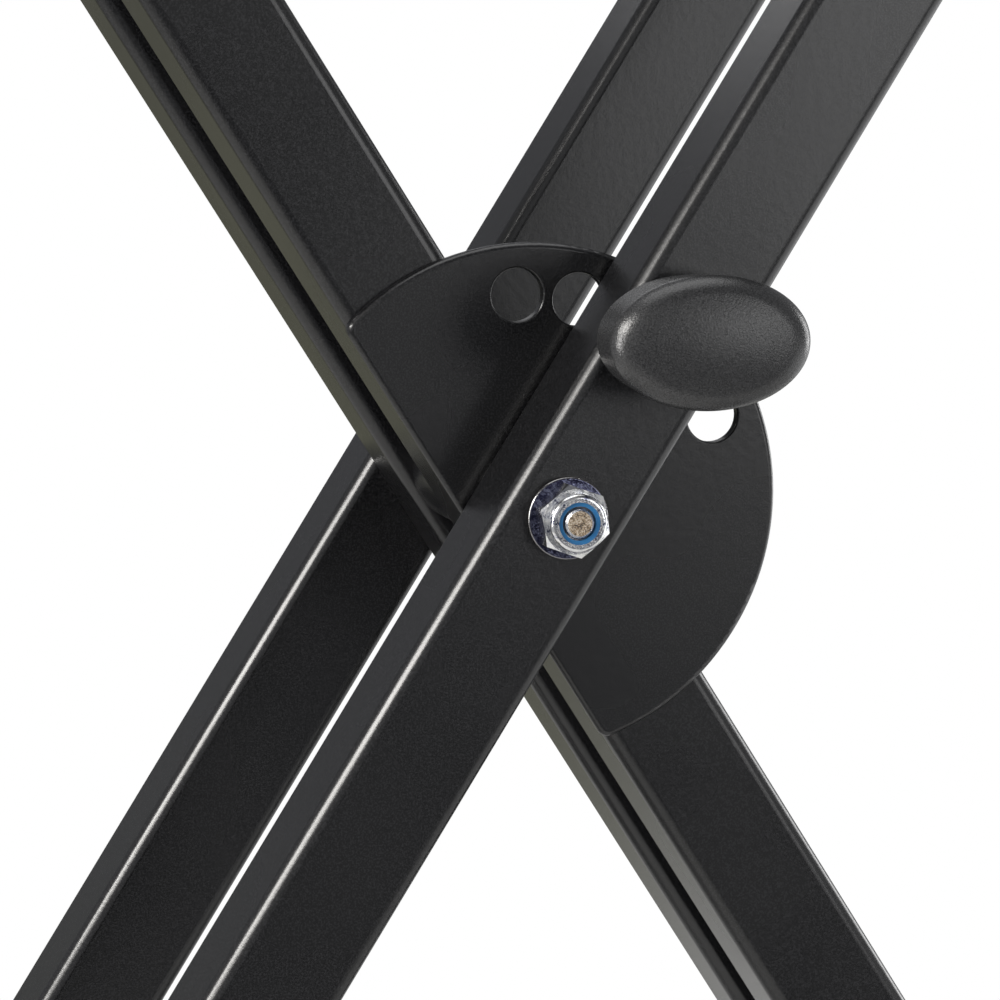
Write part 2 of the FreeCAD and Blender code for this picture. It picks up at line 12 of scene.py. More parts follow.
import bmesh
import bpy
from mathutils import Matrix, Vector


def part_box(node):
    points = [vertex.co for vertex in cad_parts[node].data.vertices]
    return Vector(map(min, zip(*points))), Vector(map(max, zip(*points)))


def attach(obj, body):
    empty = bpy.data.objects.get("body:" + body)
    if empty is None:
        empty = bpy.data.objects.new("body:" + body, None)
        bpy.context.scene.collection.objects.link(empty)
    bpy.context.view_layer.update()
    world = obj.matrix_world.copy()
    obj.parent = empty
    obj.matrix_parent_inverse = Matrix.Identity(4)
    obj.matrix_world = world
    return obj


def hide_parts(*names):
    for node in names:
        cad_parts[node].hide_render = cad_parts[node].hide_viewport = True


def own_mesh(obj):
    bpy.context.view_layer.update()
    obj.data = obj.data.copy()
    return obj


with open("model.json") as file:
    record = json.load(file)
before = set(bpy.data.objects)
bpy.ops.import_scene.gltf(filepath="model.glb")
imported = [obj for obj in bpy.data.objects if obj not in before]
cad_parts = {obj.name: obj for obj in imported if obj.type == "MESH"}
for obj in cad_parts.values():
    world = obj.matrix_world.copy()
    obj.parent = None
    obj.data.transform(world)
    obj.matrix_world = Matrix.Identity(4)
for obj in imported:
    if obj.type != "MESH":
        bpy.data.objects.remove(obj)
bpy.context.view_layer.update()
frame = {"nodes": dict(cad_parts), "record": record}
scene = bpy.context.scene
scene.view_settings.view_transform = "Standard"

# %% [markdown]
# ## Node helpers
# Every finish below is a node tree. Trees can be wired by hand in the editor, but a script makes the
# same tree every time. One helper adds a node with its settings, and one starts a finish that ends
# in a Principled BSDF of its own. The others add what nearly every finish needs, a colour ramp and a
# relief, and print what was made.

# %% Node helpers


def add_node(tree, kind, **settings):
    """Add a shader or geometry node. Settings name properties, or inputs by their label."""
    node = tree.nodes.new(kind)
    for key, value in settings.items():
        label = key.replace("_", " ").lower()
        if hasattr(node, key):
            setattr(node, key, value)
        else:
            socket = next(socket for socket in node.inputs if socket.name.lower() == label)
            socket.default_value = value
    return node


def new_finish(name):
    """Start a material and hand back its tree, its surface shader and its object coordinates."""
    material = bpy.data.materials.new(name)
    material.use_nodes = True
    tree = material.node_tree
    tree.nodes.clear()
    shader = tree.nodes.new("ShaderNodeBsdfPrincipled")
    output = tree.nodes.new("ShaderNodeOutputMaterial")
    tree.links.new(shader.outputs["BSDF"], output.inputs["Surface"])
    place = tree.nodes.new("ShaderNodeTexCoord")
    return material, tree, shader, place.outputs["Object"]


def add_ramp(tree, value, stops):
    """A colour ramp fed by a value. Stops are pairs of a place and a colour or a grey."""
    ramp = tree.nodes.new("ShaderNodeValToRGB")
    ramp.color_ramp.interpolation = "EASE"
    while len(ramp.color_ramp.elements) < len(stops):
        ramp.color_ramp.elements.new(0.5)
    for element, (at, colour) in zip(ramp.color_ramp.elements, stops):
        red, green, blue = (colour, colour, colour) if isinstance(colour, float) else colour
        element.position = at
        element.color = (red, green, blue, 1.0)
    tree.links.new(value, ramp.inputs["Fac"])
    return ramp.outputs["Color"]


def add_bump(tree, shader, height, strength, depth):
    """Relief from a height value."""
    bump = add_node(tree, "ShaderNodeBump", Strength=strength, Distance=depth)
    tree.links.new(height, bump.inputs["Height"])
    tree.links.new(bump.outputs["Normal"], shader.inputs["Normal"])


def show_finish(material):
    """Print the size of a finish."""
    print("finish", material.name, "with", len(material.node_tree.nodes), "nodes")


# %% [markdown]
# ## A grain that several finishes share
# Powder coat, moulded plastic, plating and rubber all have a fine random relief, only at different
# sizes. A picture of each would blur up close, so one shader node group works the relief out. A
# broad and a fine noise give a height for the Bump node, the fine one alone gives specks, and a slow
# third one lets colour or gloss drift along a piece. Each finish sets its own scales.

# %% Surface grain group
drift_scale = 14.0
grain = bpy.data.node_groups.new("surface_grain", "ShaderNodeTree")
grain.interface.new_socket("Position", in_out="INPUT", socket_type="NodeSocketVector")
for socket_name in ("Broad scale", "Fine scale", "Fine share"):
    grain.interface.new_socket(socket_name, in_out="INPUT", socket_type="NodeSocketFloat")
for socket_name in ("Height", "Speck", "Drift"):
    grain.interface.new_socket(socket_name, in_out="OUTPUT", socket_type="NodeSocketFloat")
grain_in = grain.nodes.new("NodeGroupInput")
grain_out = grain.nodes.new("NodeGroupOutput")
broad = add_node(grain, "ShaderNodeTexNoise", Detail=2.0, Roughness=0.5)
fine = add_node(grain, "ShaderNodeTexNoise", Detail=1.0, Roughness=0.6)
drift = add_node(grain, "ShaderNodeTexNoise", Scale=drift_scale, Detail=2.0)
grain_mix = add_node(grain, "ShaderNodeMix", data_type="FLOAT")
for noise in (broad, fine, drift):
    grain.links.new(grain_in.outputs["Position"], noise.inputs["Vector"])
grain.links.new(grain_in.outputs["Broad scale"], broad.inputs["Scale"])
grain.links.new(grain_in.outputs["Fine scale"], fine.inputs["Scale"])
grain.links.new(grain_in.outputs["Fine share"], grain_mix.inputs["Factor"])
grain.links.new(broad.outputs["Fac"], grain_mix.inputs["A"])
grain.links.new(fine.outputs["Fac"], grain_mix.inputs["B"])
grain.links.new(grain_mix.outputs["Result"], grain_out.inputs["Height"])
grain.links.new(fine.outputs["Fac"], grain_out.inputs["Speck"])
grain.links.new(drift.outputs["Fac"], grain_out.inputs["Drift"])
print("grain group with", len(grain.nodes), "nodes")

# %% [markdown]
# ## Finishes made from the grain
# Most finishes here are the same tree with other numbers: one of the grain's outputs picks the
# colour, another picks the roughness, and the height gives the relief. They could each be written
# out, but one function keeps them alike, and what differs then stands in the call. Values that
# don't change over a surface, such as Metallic or IOR, are set on the shader itself.

# %% Grained finish


def add_grain(tree, place, broad_scale, fine_scale, fine_share):
    """Put the grain group into a finish, with its scales in waves to the metre."""
    node = add_node(tree, "ShaderNodeGroup", node_tree=grain, Broad_scale=broad_scale,
                    Fine_scale=fine_scale, Fine_share=fine_share)
    tree.links.new(place, node.inputs["Position"])
    return node


def make_grained_finish(name, broad_scale, fine_scale, fine_share, colour_by, tones,
                        gloss_by, roughness, strength, depth, **shader_values):
    """A finish whose colour and roughness follow outputs of the grain, over its relief."""
    material, tree, shader, place = new_finish(name)
    skin = add_grain(tree, place, broad_scale, fine_scale, fine_share)
    colour = add_ramp(tree, skin.outputs[colour_by], tones)
    gloss = add_ramp(tree, skin.outputs[gloss_by], roughness)
    tree.links.new(colour, shader.inputs["Base Color"])
    tree.links.new(gloss, shader.inputs["Roughness"])
    for label, value in shader_values.items():
        shader.inputs[label].default_value = value
    add_bump(tree, shader, skin.outputs["Height"], strength, depth)
    show_finish(material)
    return material


# %% [markdown]
# ## Black powder coat
# The tubes are baked with powder paint: almost black, satin, with the faint ripple called orange
# peel. A ripple is about two millimetres across, so the broad noise has some five hundred waves to
# the metre. It could be modelled, but it is far too shallow to show in an outline, so a weak bump
# does it. Fine specks lift the black a little, and the gloss drifts slowly along a tube.

# %% Powder coat finish
coat_shadow = (0.001, 0.001, 0.0013)
coat_fleck = (0.017, 0.017, 0.0185)
powder_coat = make_grained_finish(
    "black_powder_coat", broad_scale=520.0, fine_scale=2600.0, fine_share=0.3,
    colour_by="Speck", tones=[(0.42, coat_shadow), (0.68, coat_fleck)],
    gloss_by="Drift", roughness=[(0.3, 0.24), (0.7, 0.29)],
    strength=0.1, depth=0.0003, IOR=1.6)

# %% [markdown]
# ## Moulded knob plastic
# The knob's mould was spark eroded, which leaves a texture much finer than the paint's ripple, of
# a few thousand waves to the metre. That is too fine to model, so a stronger bump breaks the
# highlights into grains. The high spots are a little smoother than the pits, and the specks lift the
# colour to a dark grey.

# %% Knob plastic finish
knob_pit = (0.010, 0.0102, 0.0108)
knob_fleck = (0.044, 0.0442, 0.0455)
knob_plastic = make_grained_finish(
    "knob_plastic", broad_scale=2400.0, fine_scale=4200.0, fine_share=0.5,
    colour_by="Speck", tones=[(0.35, knob_pit), (0.68, knob_fleck)],
    gloss_by="Height", roughness=[(0.35, 0.29), (0.65, 0.22)],
    strength=0.3, depth=0.0003, IOR=1.58)

# %% [markdown]
# ## Zinc plate
# Nuts and bolts are plated with zinc and tumbled in a barrel, which leaves dents and stains that
# break up the mirror. A plain metal would look like chrome, so the height of the grain also picks
# the tone, from a blue-grey stain to bright metal. The bolts and nuts of the saddles get a duller,
# rougher plate, because bright discs at the ends of the legs would draw the eye from the pivot.

# %% Zinc finishes
bright_tones = [(0.34, (0.16, 0.17, 0.25)), (0.44, (0.74, 0.75, 0.78)), (0.6, (0.94, 0.94, 0.92))]
dull_tones = [(0.34, (0.13, 0.135, 0.16)), (0.46, (0.36, 0.365, 0.38)), (0.62, (0.5, 0.5, 0.5))]


def make_zinc(name, tones, smooth, rough):
    """Plating whose tone is mottled by the barrel it was tumbled in."""
    return make_grained_finish(
        name, broad_scale=620.0, fine_scale=2600.0, fine_share=0.35,
        colour_by="Height", tones=tones,
        gloss_by="Speck", roughness=[(0.3, smooth), (0.75, rough)],
        strength=0.1, depth=0.0004, Metallic=1.0)


zinc = make_zinc("zinc_plate", bright_tones, smooth=0.14, rough=0.24)
dull_zinc = make_zinc("dull_zinc_plate", dull_tones, smooth=0.36, rough=0.48)

# %% [markdown]
# ## Dark washers
# The pivot washers are passivated to a dark purple-grey. A lighter outer rim is a painted highlight,
# for the line of light along the washer's edge. The rim could be a second material on some of the
# faces. A mask on the distance from the bolt's axis does the same in one tree, with a soft edge, and
# leaves the mesh alone.

# %% Washer finish
rim_start_share = 0.955
rim_full_share = 0.985


def make_washer_zinc():
    """Dark passivated plating, with a painted highlight on the outer rim."""
    face_tones = [(0.42, (0.033, 0.033, 0.068)), (0.64, (0.19, 0.2, 0.29))]
    # The rim colour is a painted highlight, for the line of light along the washer's outer edge.
    rim_highlight_colour = (0.32, 0.315, 0.31, 1.0)
    material, tree, shader, place = new_finish("dark_zinc_plate")
    low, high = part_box("pivot_washer_front")
    radius = (high[0] - low[0]) / 2
    axis = ((low[0] + high[0]) / 2, 0.0, (low[2] + high[2]) / 2)
    dents = add_grain(tree, place, broad_scale=700.0, fine_scale=3000.0, fine_share=0.5)
    offset = add_node(tree, "ShaderNodeVectorMath", operation="SUBTRACT")
    offset.inputs[1].default_value = axis
    flat = add_node(tree, "ShaderNodeVectorMath", operation="MULTIPLY")
    flat.inputs[1].default_value = (1.0, 0.0, 1.0)
    reach = add_node(tree, "ShaderNodeVectorMath", operation="LENGTH")
    # This mask lets the painted rim highlight take over from the dark face near the outer edge.
    rim_highlight_mask = add_node(tree, "ShaderNodeMapRange", interpolation_type="SMOOTHSTEP",
                   From_Min=radius * rim_start_share, From_Max=radius * rim_full_share)
    blend = add_node(tree, "ShaderNodeMix", data_type="RGBA")
    blend.inputs["B"].default_value = rim_highlight_colour
    face = add_ramp(tree, dents.outputs["Height"], face_tones)
    gloss = add_ramp(tree, dents.outputs["Speck"], [(0.3, 0.14), (0.75, 0.26)])
    tree.links.new(place, offset.inputs[0])
    tree.links.new(offset.outputs["Vector"], flat.inputs[0])
    tree.links.new(flat.outputs["Vector"], reach.inputs[0])
    tree.links.new(reach.outputs["Value"], rim_highlight_mask.inputs["Value"])
    tree.links.new(rim_highlight_mask.outputs["Result"], blend.inputs["Factor"])
    tree.links.new(face, blend.inputs["A"])
    tree.links.new(blend.outputs["Result"], shader.inputs["Base Color"])
    tree.links.new(gloss, shader.inputs["Roughness"])
    shader.inputs["Metallic"].default_value = 1.0
    add_bump(tree, shader, dents.outputs["Height"], strength=0.15, depth=0.0004)
    show_finish(material)
    return material


dark_zinc = make_washer_zinc()

# %% [markdown]
# ## The sawn bolt end
# The pivot bolt's end was cut after plating, so it is bare and has begun to brown. The end face
# could get a material of its own, but one tree for the whole bolt is enough: a mask on the object's
# own Y coordinate picks out the last tenth of a millimetre, which is the end face and hardly more.
# There the colour turns rusty, the roughness rises and the metal goes dull.

# %% Bolt finish with a browned end
end_depth = 0.0001


def make_bolt_steel():
    """Plated steel whose front end is bare and rusty."""
    rust_tones = [(0.41, (0.06, 0.055, 0.055)), (0.5, (0.43, 0.31, 0.19)), (0.59, (0.72, 0.65, 0.55))]
    plated_colour = (0.70, 0.71, 0.74, 1.0)
    plated_rough, rusty_rough = 0.22, 0.75
    plated_metal, rusty_metal = 1.0, 0.25
    material, tree, shader, place = new_finish("pivot_bolt_steel")
    rust = add_grain(tree, place, broad_scale=1300.0, fine_scale=4200.0, fine_share=0.6)
    split = tree.nodes.new("ShaderNodeSeparateXYZ")
    tree.links.new(place, split.inputs["Vector"])
    end_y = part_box("pivot_bolt")[0][1]
    mask = add_node(tree, "ShaderNodeMath", operation="LESS_THAN")
    mask.inputs[1].default_value = end_y + end_depth
    tree.links.new(split.outputs["Y"], mask.inputs[0])
    blend = add_node(tree, "ShaderNodeMix", data_type="RGBA")
    blend.inputs["A"].default_value = plated_colour
    tree.links.new(mask.outputs["Value"], blend.inputs["Factor"])
    tree.links.new(add_ramp(tree, rust.outputs["Height"], rust_tones), blend.inputs["B"])
    tree.links.new(blend.outputs["Result"], shader.inputs["Base Color"])
    for label, plated, rusty in (("Roughness", plated_rough, rusty_rough),
                                 ("Metallic", plated_metal, rusty_metal)):
        change = add_node(tree, "ShaderNodeMapRange", To_Min=plated, To_Max=rusty)
        tree.links.new(mask.outputs["Value"], change.inputs["Value"])
        tree.links.new(change.outputs["Result"], shader.inputs[label])
    add_bump(tree, shader, rust.outputs["Height"], strength=0.5, depth=0.0004)
    show_finish(material)
    return material


bolt_steel = make_bolt_steel()

# %% [markdown]
# ## Nylon, rubber and spring wire
# These need less. Nylon is smooth and a little uneven in colour, rubber is dull with a fine matt
# skin, and the spring is plain drawn wire. Their colour follows the slow drift, since specks would
# not show on pieces so dull or so small.

# %% Nylon, rubber and wire finishes


def make_plain_finish(name, low_tone, high_tone, smooth, rough, strength, broad_scale, metal=0.0):
    """A finish whose colour drifts between two tones over a fine relief."""
    return make_grained_finish(
        name, broad_scale=broad_scale, fine_scale=3 * broad_scale, fine_share=0.4,
        colour_by="Drift", tones=[(0.3, low_tone), (0.7, high_tone)],
        gloss_by="Speck", roughness=[(0.3, smooth), (0.7, rough)],
        strength=strength, depth=0.0003, Metallic=metal)


blue_nylon = make_plain_finish("blue_nylon", (0.02, 0.13, 0.32), (0.035, 0.19, 0.42),
                               smooth=0.14, rough=0.24, strength=0.1, broad_scale=900.0)
white_nylon = make_plain_finish("white_nylon", (0.66, 0.65, 0.61), (0.74, 0.73, 0.69),
                                smooth=0.4, rough=0.5, strength=0.1, broad_scale=900.0)
rubber = make_plain_finish("moulded_rubber", (0.012, 0.012, 0.012), (0.02, 0.02, 0.0205),
                           smooth=0.62, rough=0.78, strength=0.4, broad_scale=1400.0)
spring_wire = make_plain_finish("spring_wire", (0.36, 0.36, 0.37), (0.5, 0.5, 0.5),
                                smooth=0.3, rough=0.4, strength=0.2, broad_scale=2200.0, metal=1.0)

# %% [markdown]
# ## Dressing the construction
# The record says which material slot each construction piece has, so most pieces simply take the
# finish of their slot. The fittings that differ from their slot are listed: the bolt with its
# browned end, the dark washers, and the dull bolts and nuts of the saddles.

# %% Give each construction piece its finish
finish_of_slot = {
    "black_powder_coat": powder_coat,
    "knob_plastic": knob_plastic,
    "zinc_plate": zinc,
    "blue_nylon": blue_nylon,
    "white_nylon": white_nylon,
    "rubber": rubber,
    "spring_steel": spring_wire,
}
finish_of_node = {"pivot_bolt": bolt_steel, "pivot_washer_front": dark_zinc, "pivot_washer_rear": dark_zinc}
for pair in ("outer", "inner"):
    finish_of_node[pair + "_saddle_bolts"] = dull_zinc
    finish_of_node[pair + "_saddle_nuts"] = dull_zinc
slot_of_node = {part["node"]: part["material_slot"] for part in frame["record"]["subparts"]}
for node_name, piece in frame["nodes"].items():
    finish = finish_of_node.get(node_name) or finish_of_slot[slot_of_node[node_name]]
    for material_slot in piece.material_slots:
        material_slot.material = finish
print("finished", len(frame["nodes"]), "construction pieces")

# %% [markdown]
# ## Growing pieces with Geometry Nodes
# Two kinds of piece below follow a rule: weld beads along a line, and the wire of a spring. Loops in
# the script could place their vertices, but a tree with named sizes is easier to read and to change.
# Both trees end alike: instances become real, because an export drops them, and they are shaded
# smooth and given their finish. A tree is run once over paths laid as mesh edges, and the result is
# kept as a plain mesh that rides on its body.

# %% Start and end of a geometry tree


def new_geometry_tree(name, inputs):
    """Start a tree with named inputs of the given kinds, and hand back its input sockets too."""
    tree = bpy.data.node_groups.new(name, "GeometryNodeTree")
    for label, kind in {"Geometry": "Geometry", **inputs, "Finish": "Material"}.items():
        tree.interface.new_socket(label, in_out="INPUT", socket_type="NodeSocket" + kind)
    tree.interface.new_socket("Geometry", in_out="OUTPUT", socket_type="NodeSocketGeometry")
    return tree, tree.nodes.new("NodeGroupInput").outputs


def end_geometry_tree(tree, grown, finish):
    """Make the grown geometry real and smooth, give it its finish and put it out."""
    real = tree.nodes.new("GeometryNodeRealizeInstances")
    smooth = tree.nodes.new("GeometryNodeSetShadeSmooth")
    paint = tree.nodes.new("GeometryNodeSetMaterial")
    result = tree.nodes.new("NodeGroupOutput")
    tree.links.new(grown, real.inputs["Geometry"])
    tree.links.new(real.outputs["Geometry"], smooth.inputs["Geometry"])
    tree.links.new(smooth.outputs["Geometry"], paint.inputs["Geometry"])
    tree.links.new(finish, paint.inputs["Material"])
    tree.links.new(paint.outputs["Geometry"], result.inputs["Geometry"])
    print("tree", tree.name, "with", len(tree.nodes), "nodes")


# %% Run a tree over paths and keep a plain mesh


def grow_on_paths(name, tree, paths, values, body):
    """Lay straight paths as mesh edges, run the tree on them, and ride the plain result on a body."""
    lines = bpy.data.meshes.new(name + "_paths")
    points = [tuple(point) for path in paths for point in path]
    lines.from_pydata(points, [(2 * i, 2 * i + 1) for i in range(len(paths))], [])
    carrier = bpy.data.objects.new(name + "_paths", lines)
    scene.collection.objects.link(carrier)
    modifier = carrier.modifiers.new(name, "NODES")
    modifier.node_group = tree
    for item in tree.interface.items_tree:
        if item.item_type == "SOCKET" and item.in_out == "INPUT" and item.name in values:
            modifier[item.identifier] = values[item.name]
    depsgraph = bpy.context.evaluated_depsgraph_get()
    grown = bpy.data.meshes.new_from_object(carrier.evaluated_get(depsgraph))
    bpy.data.objects.remove(carrier)
    piece = bpy.data.objects.new(name, grown)
    scene.collection.objects.link(piece)
    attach(piece, body)
    print(name, "has", len(grown.polygons), "faces on", len(paths), "paths")
    return piece


# %% [markdown]
# ## Weld beads
# Each leg is welded to its saddles along its front and back faces, and the lock plate is welded to
# the front inner leg where it stands out past the tube. A bead is a row of small overlapping puddles.
# They could be copied one by one. The tree here walks along a path instead, drops a ball at every
# step, squeezes it along the path, and varies each one a little from a fixed seed. The paint goes
# over the weld, so it shares the finish.

# %% Weld bead tree
puddle_segments = 12
puddle_rings = 7
smallest_puddle = 0.88
largest_puddle = 1.08


def make_weld_tree():
    """A tree that lays a bead of puddles along every edge of a mesh."""
    tree, sizes = new_geometry_tree("weld_bead", {
        "Step": "Float", "Bead radius": "Float", "Puddle share": "Float", "Seed": "Int"})
    path = tree.nodes.new("GeometryNodeMeshToCurve")
    walk = add_node(tree, "GeometryNodeResampleCurve", mode="LENGTH")
    along = tree.nodes.new("GeometryNodeInputTangent")
    turn = add_node(tree, "FunctionNodeAlignRotationToVector", axis="X")
    ball = add_node(tree, "GeometryNodeMeshUVSphere", Segments=puddle_segments, Rings=puddle_rings)
    spread = add_node(tree, "FunctionNodeRandomValue", data_type="FLOAT")
    spread.inputs[2].default_value = smallest_puddle
    spread.inputs[3].default_value = largest_puddle
    squeeze = add_node(tree, "ShaderNodeCombineXYZ", Y=1.0, Z=1.0)
    grow = add_node(tree, "ShaderNodeVectorMath", operation="SCALE")
    drop = tree.nodes.new("GeometryNodeInstanceOnPoints")
    link = tree.links.new
    link(sizes["Geometry"], path.inputs["Mesh"])
    link(path.outputs["Curve"], walk.inputs["Curve"])
    link(sizes["Step"], walk.inputs["Length"])
    link(along.outputs["Tangent"], turn.inputs["Vector"])
    link(sizes["Bead radius"], ball.inputs["Radius"])
    link(sizes["Seed"], spread.inputs["Seed"])
    link(sizes["Puddle share"], squeeze.inputs["X"])
    link(squeeze.outputs["Vector"], grow.inputs[0])
    link(spread.outputs[1], grow.inputs["Scale"])
    link(walk.outputs["Curve"], drop.inputs["Points"])
    link(ball.outputs["Mesh"], drop.inputs["Instance"])
    link(turn.outputs["Rotation"], drop.inputs["Rotation"])
    link(grow.outputs["Vector"], drop.inputs["Scale"])
    end_geometry_tree(tree, drop.outputs["Instances"], sizes["Finish"])
    return tree


weld_tree = make_weld_tree()

# %% Where the welds run
leg_lean = math.radians(32.3)
bead_half = 0.0105
plate_weld_runs = ((-0.042, -0.018), (0.004, 0.026))


def leg_end_paths(leg, leans_right):
    """Front and back weld lines at both ends of a leg."""
    low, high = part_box(leg)
    tube = high[1] - low[1]
    half_cut = tube / 2 / math.cos(leg_lean)
    foot_x = low[0] + half_cut if leans_right else high[0] - half_cut
    arm_x = high[0] - half_cut if leans_right else low[0] + half_cut
    paths = []
    for x, z in ((foot_x, low[2]), (arm_x, high[2])):
        for y in (low[1], high[1]):
            paths.append(((x - bead_half, y, z), (x + bead_half, y, z)))
    return paths


def plate_paths():
    """Two short weld lines behind the plate, along the right side of its leg."""
    low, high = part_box("inner_leg_front")
    half_tube = (high[1] - low[1]) / 2
    centre = Vector(((low[0] + high[0]) / 2, low[1], (low[2] + high[2]) / 2))
    upward = Vector((-math.sin(leg_lean), 0, math.cos(leg_lean)))
    outward = Vector((math.cos(leg_lean), 0, math.sin(leg_lean)))
    edge = centre + outward * half_tube
    return [(edge + upward * start, edge + upward * end) for start, end in plate_weld_runs]


outer_paths = leg_end_paths("outer_leg_front", True) + leg_end_paths("outer_leg_rear", True)
inner_paths = leg_end_paths("inner_leg_front", False) + leg_end_paths("inner_leg_rear", False)
inner_paths += plate_paths()
print("weld lines:", len(outer_paths), "on the outer legs,", len(inner_paths), "on the inner ones")

# %% Weld the legs to the saddles and the plate to its leg
weld_values = {"Step": 0.0013, "Bead radius": 0.0021, "Puddle share": 0.6, "Seed": 7, "Finish": powder_coat}
grow_on_paths("outer_weld_beads", weld_tree, outer_paths, weld_values, "outer_frame")
grow_on_paths("inner_weld_beads", weld_tree, inner_paths, weld_values, "inner_frame")

# %% [markdown]
# ## The plunger's spring
# Inside the guide a coil spring pushes the pin towards the plate, and pulling the knob shortens it.
# The Spiral brings its own line, so the path that the tree runs on is only a carrier.

# %% Spring tree
points_per_turn = 32
wire_sides = 12


def make_coil_tree():
    """A tree that winds a round wire into a coil along the Y axis."""
    tree, sizes = new_geometry_tree("wire_coil", {
        "Turns": "Float", "Coil radius": "Float", "Length": "Float",
        "Wire radius": "Float", "Start": "Vector"})
    coil = add_node(tree, "GeometryNodeCurveSpiral", Resolution=points_per_turn, Reverse=True)
    section = add_node(tree, "GeometryNodeCurvePrimitiveCircle", Resolution=wire_sides)
    wire = add_node(tree, "GeometryNodeCurveToMesh", Fill_Caps=True)
    lay = add_node(tree, "GeometryNodeTransform", Rotation=(-math.pi / 2, 0.0, 0.0))
    link = tree.links.new
    link(sizes["Turns"], coil.inputs["Rotations"])
    link(sizes["Coil radius"], coil.inputs["Start Radius"])
    link(sizes["Coil radius"], coil.inputs["End Radius"])
    link(sizes["Length"], coil.inputs["Height"])
    link(sizes["Wire radius"], section.inputs["Radius"])
    link(coil.outputs["Curve"], wire.inputs["Curve"])
    link(section.outputs["Curve"], wire.inputs["Profile Curve"])
    link(wire.outputs["Mesh"], lay.inputs["Geometry"])
    link(sizes["Start"], lay.inputs["Translation"])
    end_geometry_tree(tree, lay.outputs["Geometry"], sizes["Finish"])
    return tree


coil_tree = make_coil_tree()

# %% Wind the spring and let it ride on the plunger
wire_radius = 0.00045
coil_turns = 5.0
coil_low, coil_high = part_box("lock_spring")
coil_length = coil_high[1] - coil_low[1]
coil_axis = ((coil_low[0] + coil_high[0]) / 2, (coil_low[2] + coil_high[2]) / 2)
coil_front = (coil_axis[0], coil_low[1] + wire_radius, coil_axis[1])
coil_back = (coil_axis[0], coil_high[1], coil_axis[1])
coil_values = {"Turns": coil_turns, "Coil radius": (coil_high[0] - coil_low[0]) / 2 - wire_radius,
               "Length": coil_length - 2 * wire_radius, "Wire radius": wire_radius,
               "Start": coil_front, "Finish": spring_wire}
spring = grow_on_paths("lock_spring_coil", coil_tree, [(coil_front, coil_back)], coil_values,
                       "lock_plunger")
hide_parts("lock_spring")
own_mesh(spring)

# %% [markdown]
# ## Camera
# The picture is a close look at the pivot, taken a little from the left and from above with a long
# lens. The camera could be dragged into place, but angles and a distance from the front of the pivot
# are easier to read and to correct. It is aimed slightly aside, so that the pivot falls right of the
# middle, as in the picture. The focal length is given as a share of the sensor's width.

# %% Camera
camera_azimuth = math.radians(-16.15)
camera_elevation = math.radians(7.6)
camera_distance = 0.71742
focal_share = 3.619
aim_left = 0.01317
aim_up = 0.00345
leg_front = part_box("outer_leg_front")[0][1]
pivot_low, pivot_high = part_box("pivot_washer_front")
pivot_front = Vector(((pivot_low[0] + pivot_high[0]) / 2, leg_front, (pivot_low[2] + pivot_high[2]) / 2))
sight = Vector((-math.sin(camera_azimuth) * math.cos(camera_elevation),
                math.cos(camera_azimuth) * math.cos(camera_elevation), -math.sin(camera_elevation)))
right = sight.cross(Vector((0, 0, 1))).normalized()
up = right.cross(sight)
camera_data = bpy.data.cameras.new("camera")
camera_data.sensor_width = 36.0
camera_data.lens = focal_share * camera_data.sensor_width
camera_data.clip_start = 0.01
camera = bpy.data.objects.new("camera", camera_data)
scene.collection.objects.link(camera)
camera.location = pivot_front - sight * camera_distance
aim = pivot_front - right * aim_left + up * aim_up
camera.rotation_euler = (aim - camera.location).to_track_quat("-Z", "Y").to_euler()
scene.camera = camera
print("camera at", [round(value, 3) for value in camera.location], "lens", round(camera_data.lens, 1))

# %% [markdown]
# ## Lights
# Black paint shows its shape by the lines of light along its edges, so the lamps are large soft
# rectangles, placed for the edges that they draw. The key high on the left draws the long bright
# lines, the rim light and a card near the floor draw the right edges, a panel at the front right
# fills the faces, and lamps above and behind keep the rest readable. A strip at the left rounds the
# knob and brightens the nut. It would glare on the legs when seen from the side, so light linking
# lets it reach only the knob and the fittings of the pivot.

# %% Lights
warm_white = (1.0, 0.975, 0.94)
strip_white = (1.0, 0.98, 0.96)
plain_white = (1.0, 1.0, 1.0)


def add_area_light(name, place, size, power, colour=plain_white):
    """A soft rectangular lamp at a place, facing the front of the pivot."""
    data = bpy.data.lights.new(name, "AREA")
    data.shape = "RECTANGLE"
    data.size, data.size_y = size
    data.energy = power
    data.color = colour
    lamp = bpy.data.objects.new(name, data)
    lamp.location = place
    lamp.rotation_euler = (pivot_front - Vector(place)).to_track_quat("-Z", "Y").to_euler()
    scene.collection.objects.link(lamp)
    print(name, "of", power, "watts")
    return lamp


add_area_light("key_light", (-2.07, -0.9, 1.56), size=(1.6, 0.42), power=60.0, colour=warm_white)
knob_strip = add_area_light("knob_strip", (-2.2, -0.72, 0.56), size=(0.6, 0.9), power=28.0,
                            colour=strip_white)
strip_reach = bpy.data.collections.new("strip_reach")
for node_name in ("pull_knob", "pivot_nut", "pivot_nut_ring", "pivot_washer_front"):
    strip_reach.objects.link(frame["nodes"][node_name])
knob_strip.light_linking.receiver_collection = strip_reach
add_area_light("rim_light", (2.05, 0.55, 0.62), size=(0.7, 1.1), power=14.0)
add_area_light("top_light", (0.0, 0.0, 2.7), size=(2.0, 2.0), power=20.0)
add_area_light("front_panel", (1.55, -2.69, 0.74), size=(1.32, 1.2), power=12.0)
add_area_light("back_light", (0.2, 2.2, 1.5), size=(1.2, 0.6), power=2.0)
floor_card = add_area_light("floor_card", (1.0, 0.0, 0.03), size=(1.6, 0.7), power=3.6)
floor_card.visible_camera = False

# %% [markdown]
# ## Floor
# The floor is a pale matt disc. A plane without end would show a horizon against the white
# background, so the disc fades out through Alpha before its rim. It lies half a millimetre low, to
# keep its face from flickering against the flat soles.

